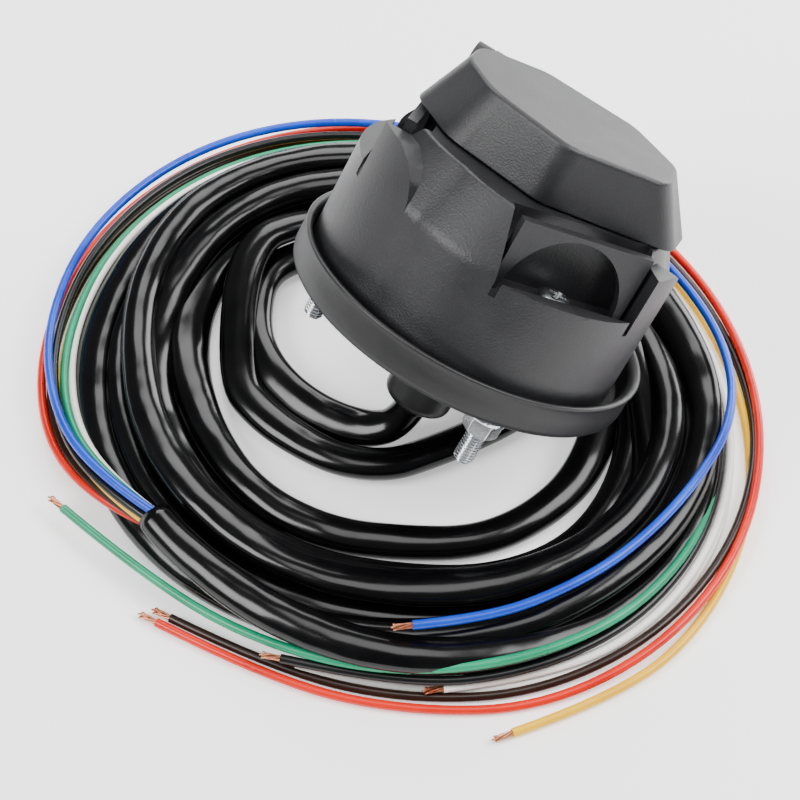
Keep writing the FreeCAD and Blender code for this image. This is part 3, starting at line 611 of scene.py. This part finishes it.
# %% Threaded bolts
STUD_R = 2.5 * MM
SHANK_R = 2.2 * MM
PITCH = 0.8 * MM
THREAD_DEPTH = 0.45 * MM
FLANK_SLOPE = 1.25
CREST_FLAT = 0.12              # taken off the slope, which leaves a flat along the crest
TIP_Z = -17.2 * MM
THREAD_TOP_Z = -0.5 * MM
HEAD_Z = 27.7 * MM
STUD_CIRCLE_R = 32.33 * MM
STUD_AZIMUTHS = (-30, 90, 210)
THREAD_SIDES = 32
STEPS_PER_PITCH = 8
TIP_TAPER = 0.5 * MM
HEAD_PROFILE_MM = ((4.55, 0.02), (4.6, 0.3), (4.45, 1.3), (3.9, 2.1), (3.0, 2.6), (1.6, 2.8))
RECESS_TURNS = (20, 110)
RECESS_DEEP_MM = (2.6, 0.7, 0.9)
RECESS_OPEN_MM = (5.0, 1.15, 3.4)


def thread_radius(z, turn):
    """Radius of the thread at a height and angle, tapering over the first pitch at the tip."""
    phase = (z / PITCH - turn / (2 * pi)) % 1.0
    valley = abs(2 * phase - 1)
    groove = THREAD_DEPTH * min(1.0, max(0.0, FLANK_SLOPE * valley - CREST_FLAT))
    taper = max(0.0, 1 - (z - TIP_Z) / PITCH) * TIP_TAPER
    return STUD_R - groove - taper


def add_bolt(shell, matrix):
    """One bolt, along its own Z, moved by a matrix."""
    rings = []
    steps = int((THREAD_TOP_Z - TIP_Z) / PITCH * STEPS_PER_PITCH)
    for i in range(steps + 1):
        z = TIP_Z + (THREAD_TOP_Z - TIP_Z) * i / steps
        turns = [2 * pi * k / THREAD_SIDES for k in range(THREAD_SIDES)]
        rings.append([(thread_radius(z, t) * cos(t), thread_radius(z, t) * sin(t), z) for t in turns])
    lathe = [(SHANK_R, THREAD_TOP_Z + 0.1 * MM), (SHANK_R, HEAD_Z)]
    lathe += [(radius * MM, HEAD_Z + height * MM) for radius, height in HEAD_PROFILE_MM]
    for radius, z in lathe:
        rings.append([(radius * cos(2 * pi * k / THREAD_SIDES), radius * sin(2 * pi * k / THREAD_SIDES), z)
                      for k in range(THREAD_SIDES)])
    skin(shell, [[shell.verts.new(matrix @ Vector(p)) for p in ring] for ring in rings])


def add_recess(cutter, matrix):
    """Adds one head's cross recess to a cutter: two tapered bars."""
    for turn in RECESS_TURNS:
        bar = bmesh.ops.create_cube(cutter, size=1.0)["verts"]
        for vertex in bar:
            length, width, height = RECESS_DEEP_MM if vertex.co.z < 0 else RECESS_OPEN_MM
            vertex.co.x *= length * MM
            vertex.co.y *= width * MM
            vertex.co.z = HEAD_Z + height * MM
        bmesh.ops.transform(cutter, matrix=matrix @ Matrix.Rotation(radians(turn), 4, "Z"), verts=bar)


def stud_matrix(azimuth):
    """Place of a stud's own axis in the scene."""
    offset = Vector((STUD_CIRCLE_R * cos(radians(azimuth)), STUD_CIRCLE_R * sin(radians(azimuth)), 0))
    return socket_matrix @ Matrix.Translation(offset)


def cut(piece, cutter, name):
    """Cuts a bmesh shape out of a piece, and keeps only the result."""
    mesh = bpy.data.meshes.new(name)
    bmesh.ops.recalc_face_normals(cutter, faces=cutter.faces)
    cutter.to_mesh(mesh)
    cutter.free()
    tool = bpy.data.objects.new(name, mesh)
    bpy.context.scene.collection.objects.link(tool)
    boolean = piece.modifiers.new(name, "BOOLEAN")
    boolean.operation = "DIFFERENCE"
    boolean.solver = "EXACT"
    boolean.use_self = True
    boolean.object = tool
    result = bpy.data.meshes.new_from_object(piece.evaluated_get(bpy.context.evaluated_depsgraph_get()))
    piece.modifiers.clear()
    piece.data = result
    bpy.data.objects.remove(tool)


bolts = bmesh.new()
recesses = bmesh.new()
for azimuth in STUD_AZIMUTHS:
    add_bolt(bolts, stud_matrix(azimuth))
    add_recess(recesses, stud_matrix(azimuth))
bolt_piece = mesh_piece("threaded_bolts", bolts, zinc, SOCKET, ("mounting_bolts",))
cut(bolt_piece, recesses, "recess cutter")

# %% [markdown]
# ## Gasket
# The rubber cup stands proud of the housing, and its thin lip curls out more on one side. Its section is
# drawn once as a closed loop of edges and spun a full turn about the socket's axis. Afterwards each point
# near the top moves outwards by the lip's curl.

# %% Gasket
GASKET_PROFILE = ((12.0, 0.0), (42.8, 0.0), (43.7, 0.3), (44.2, 0.9), (44.4, 1.8), (44.4, 5.0), (44.4, 7.6),
                  (44.5, 8.5), (44.6, 9.0), (44.4, 9.35), (44.0, 9.45), (43.5, 9.4), (43.0, 9.0), (42.4, 8.2),
                  (42.1, 7.2), (42.1, 2.5), (41.6, 2.0), (12.0, 2.0))
GASKET_STEPS = 160
CURL_START_MM = 6.0
CURL_SPAN_MM = 3.4
CURL_ALL_ROUND = 0.15
CURL_ONE_SIDE = 0.25
CURL_SIDE = radians(20)
CURL_RIPPLE = 0.08
CURL_RIPPLES = 5
STUD_HOLE_R = 2.8 * MM
STUD_HOLE_DEPTH = 6 * MM
HOLE_SIDES = 32


def curl(azimuth, z):
    """How far the lip stands out at an azimuth, in mm. Only the top third moves."""
    rise = max(0.0, (z - CURL_START_MM) / CURL_SPAN_MM) ** 2
    return rise * (CURL_ALL_ROUND + CURL_ONE_SIDE * cos(azimuth - CURL_SIDE)
                   + CURL_RIPPLE * sin(CURL_RIPPLES * azimuth))


shell = bmesh.new()
section = [shell.verts.new(Vector((r, 0, z)) * MM) for r, z in GASKET_PROFILE]
edges = [shell.edges.new((section[k - 1], section[k])) for k in range(len(section))]
bmesh.ops.spin(shell, geom=section + edges, cent=(0, 0, 0), axis=(0, 0, 1), angle=2 * pi, steps=GASKET_STEPS,
               use_merge=True)
for vertex in shell.verts:
    reach = vertex.co.xy.length
    curled = 1 + curl(atan2(vertex.co.y, vertex.co.x), vertex.co.z / MM) * MM / reach
    vertex.co.x *= curled
    vertex.co.y *= curled
bmesh.ops.transform(shell, matrix=socket_matrix, verts=shell.verts)
gasket_piece = mesh_piece("rubber_gasket", shell, gasket_rubber, SOCKET, ("gasket",))
holes = bmesh.new()
for azimuth in STUD_AZIMUTHS:
    bmesh.ops.create_cone(holes, cap_ends=True, segments=HOLE_SIDES, radius1=STUD_HOLE_R, radius2=STUD_HOLE_R,
                          depth=STUD_HOLE_DEPTH, matrix=stud_matrix(azimuth))
cut(gasket_piece, holes, "stud holes")
gasket_piece.data.polygons.foreach_set("use_smooth", [True] * len(gasket_piece.data.polygons))

# %% [markdown]
# ## Hinge spring
# The torsion spring's turns are a coil of round wire on the hinge pin.

# %% Hinge spring
HINGE_AXIS = Vector(frame["joints"][0]["axis"]).normalized()
spring_low, spring_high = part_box("hinge_spring")
spring_middle = (spring_low + spring_high) / 2
SPRING_LENGTH = 5.6 * MM
SPRING_R = 2.7 * MM
SPRING_WIRE = 1.1 * MM
SPRING_TURNS = 4.5
STEPS_PER_TURN = 12
side = HINGE_AXIS.cross(Vector((0, 0, 1))).normalized()
up = side.cross(HINGE_AXIS).normalized()
coil_points = []
spring_steps = int(SPRING_TURNS * STEPS_PER_TURN)
for i in range(spring_steps + 1):
    turn = 2 * pi * i / STEPS_PER_TURN
    along = SPRING_LENGTH * (i / spring_steps - 0.5)
    coil_points.append(spring_middle + HINGE_AXIS * along + (side * cos(turn) + up * sin(turn)) * SPRING_R)
spring = nurbs("torsion_spring", coil_points, SPRING_WIRE / 2)
spring.data.materials.append(spring_steel)
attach(spring, SOCKET)
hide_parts("hinge_spring")
print("spring of %.1f turns" % SPRING_TURNS)

# %% [markdown]
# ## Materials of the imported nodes
# The nodes that are kept as they were packed take the same materials.

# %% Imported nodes
KEPT = {
    "housing": housing_plastic, "lid": lid_plastic, "contact_carrier": carrier_plastic,
    "rear_cover": carrier_plastic, "cable_boot": boot_rubber, "lid_seal": seal_rubber,
    "bolt_washers": zinc, "bolt_nuts": zinc, "hinge_pin": pin_steel, "contact_sleeves": brass,
    "clamp_screws": zinc, "carrier_screws": zinc,
}
for node, material in KEPT.items():
    piece = frame["nodes"][node]
    piece.data.materials.clear()
    piece.data.materials.append(material)
print("packed nodes with materials", len(KEPT))

# %% [markdown]
# ## Floor and light
# A plain pale floor runs out of view and glows a little, as lit white paper does. Large square lights stand
# for a studio's softboxes.

# %% Floor, lights and world
FLOOR_SIZE = 8.0
WORLD_STRENGTH = 0.18
bpy.ops.mesh.primitive_plane_add(size=FLOOR_SIZE)
floor = bpy.context.object
floor.name = "floor"
floor_material, tree, shader = new_material("white studio paper")
shader.inputs["Base Color"].default_value = linear("FCFCFC")
shader.inputs["Roughness"].default_value = 0.95
shader.inputs["Specular IOR Level"].default_value = 0.1
shader.inputs["Emission Color"].default_value = linear("FFFFFF")
shader.inputs["Emission Strength"].default_value = 0.5
floor.data.materials.append(floor_material)

LIGHT_AIM = Vector((0.0, -0.02, 0.04))


def softbox(name, azimuth, elevation, distance, size, watts):
    """Square area light that looks at the object. Azimuth 0 is on the -Y side, and it grows to +X."""
    a, e = radians(azimuth), radians(elevation)
    place = LIGHT_AIM + Vector((sin(a) * cos(e), -cos(a) * cos(e), sin(e))) * distance
    data = bpy.data.lights.new(name, "AREA")
    data.shape = "SQUARE"
    data.size = size
    data.energy = watts
    light = bpy.data.objects.new(name, data)
    light.location = place
    light.rotation_euler = (LIGHT_AIM - place).to_track_quat("-Z", "Y").to_euler()
    bpy.context.scene.collection.objects.link(light)


# Name, azimuth, elevation, distance, size and watts.
SOFTBOXES = (
    ("key_right", 140, 48, 1.1, 0.7, 18),
    ("fill_left", -20, 42, 1.2, 0.6, 17),
    ("back_left", -130, 38, 1.2, 0.7, 11),
    ("overhead", 50, 88, 1.3, 0.7, 8),
    ("low_behind", 186, 12, 1.0, 0.5, 9),
)
for settings in SOFTBOXES:
    softbox(*settings)
print("softboxes", len(SOFTBOXES))

world = bpy.data.worlds.new("studio air")
world.use_nodes = True
world.node_tree.nodes["Background"].inputs["Color"].default_value = linear("F2F4F6")
world.node_tree.nodes["Background"].inputs["Strength"].default_value = WORLD_STRENGTH
bpy.context.scene.world = world
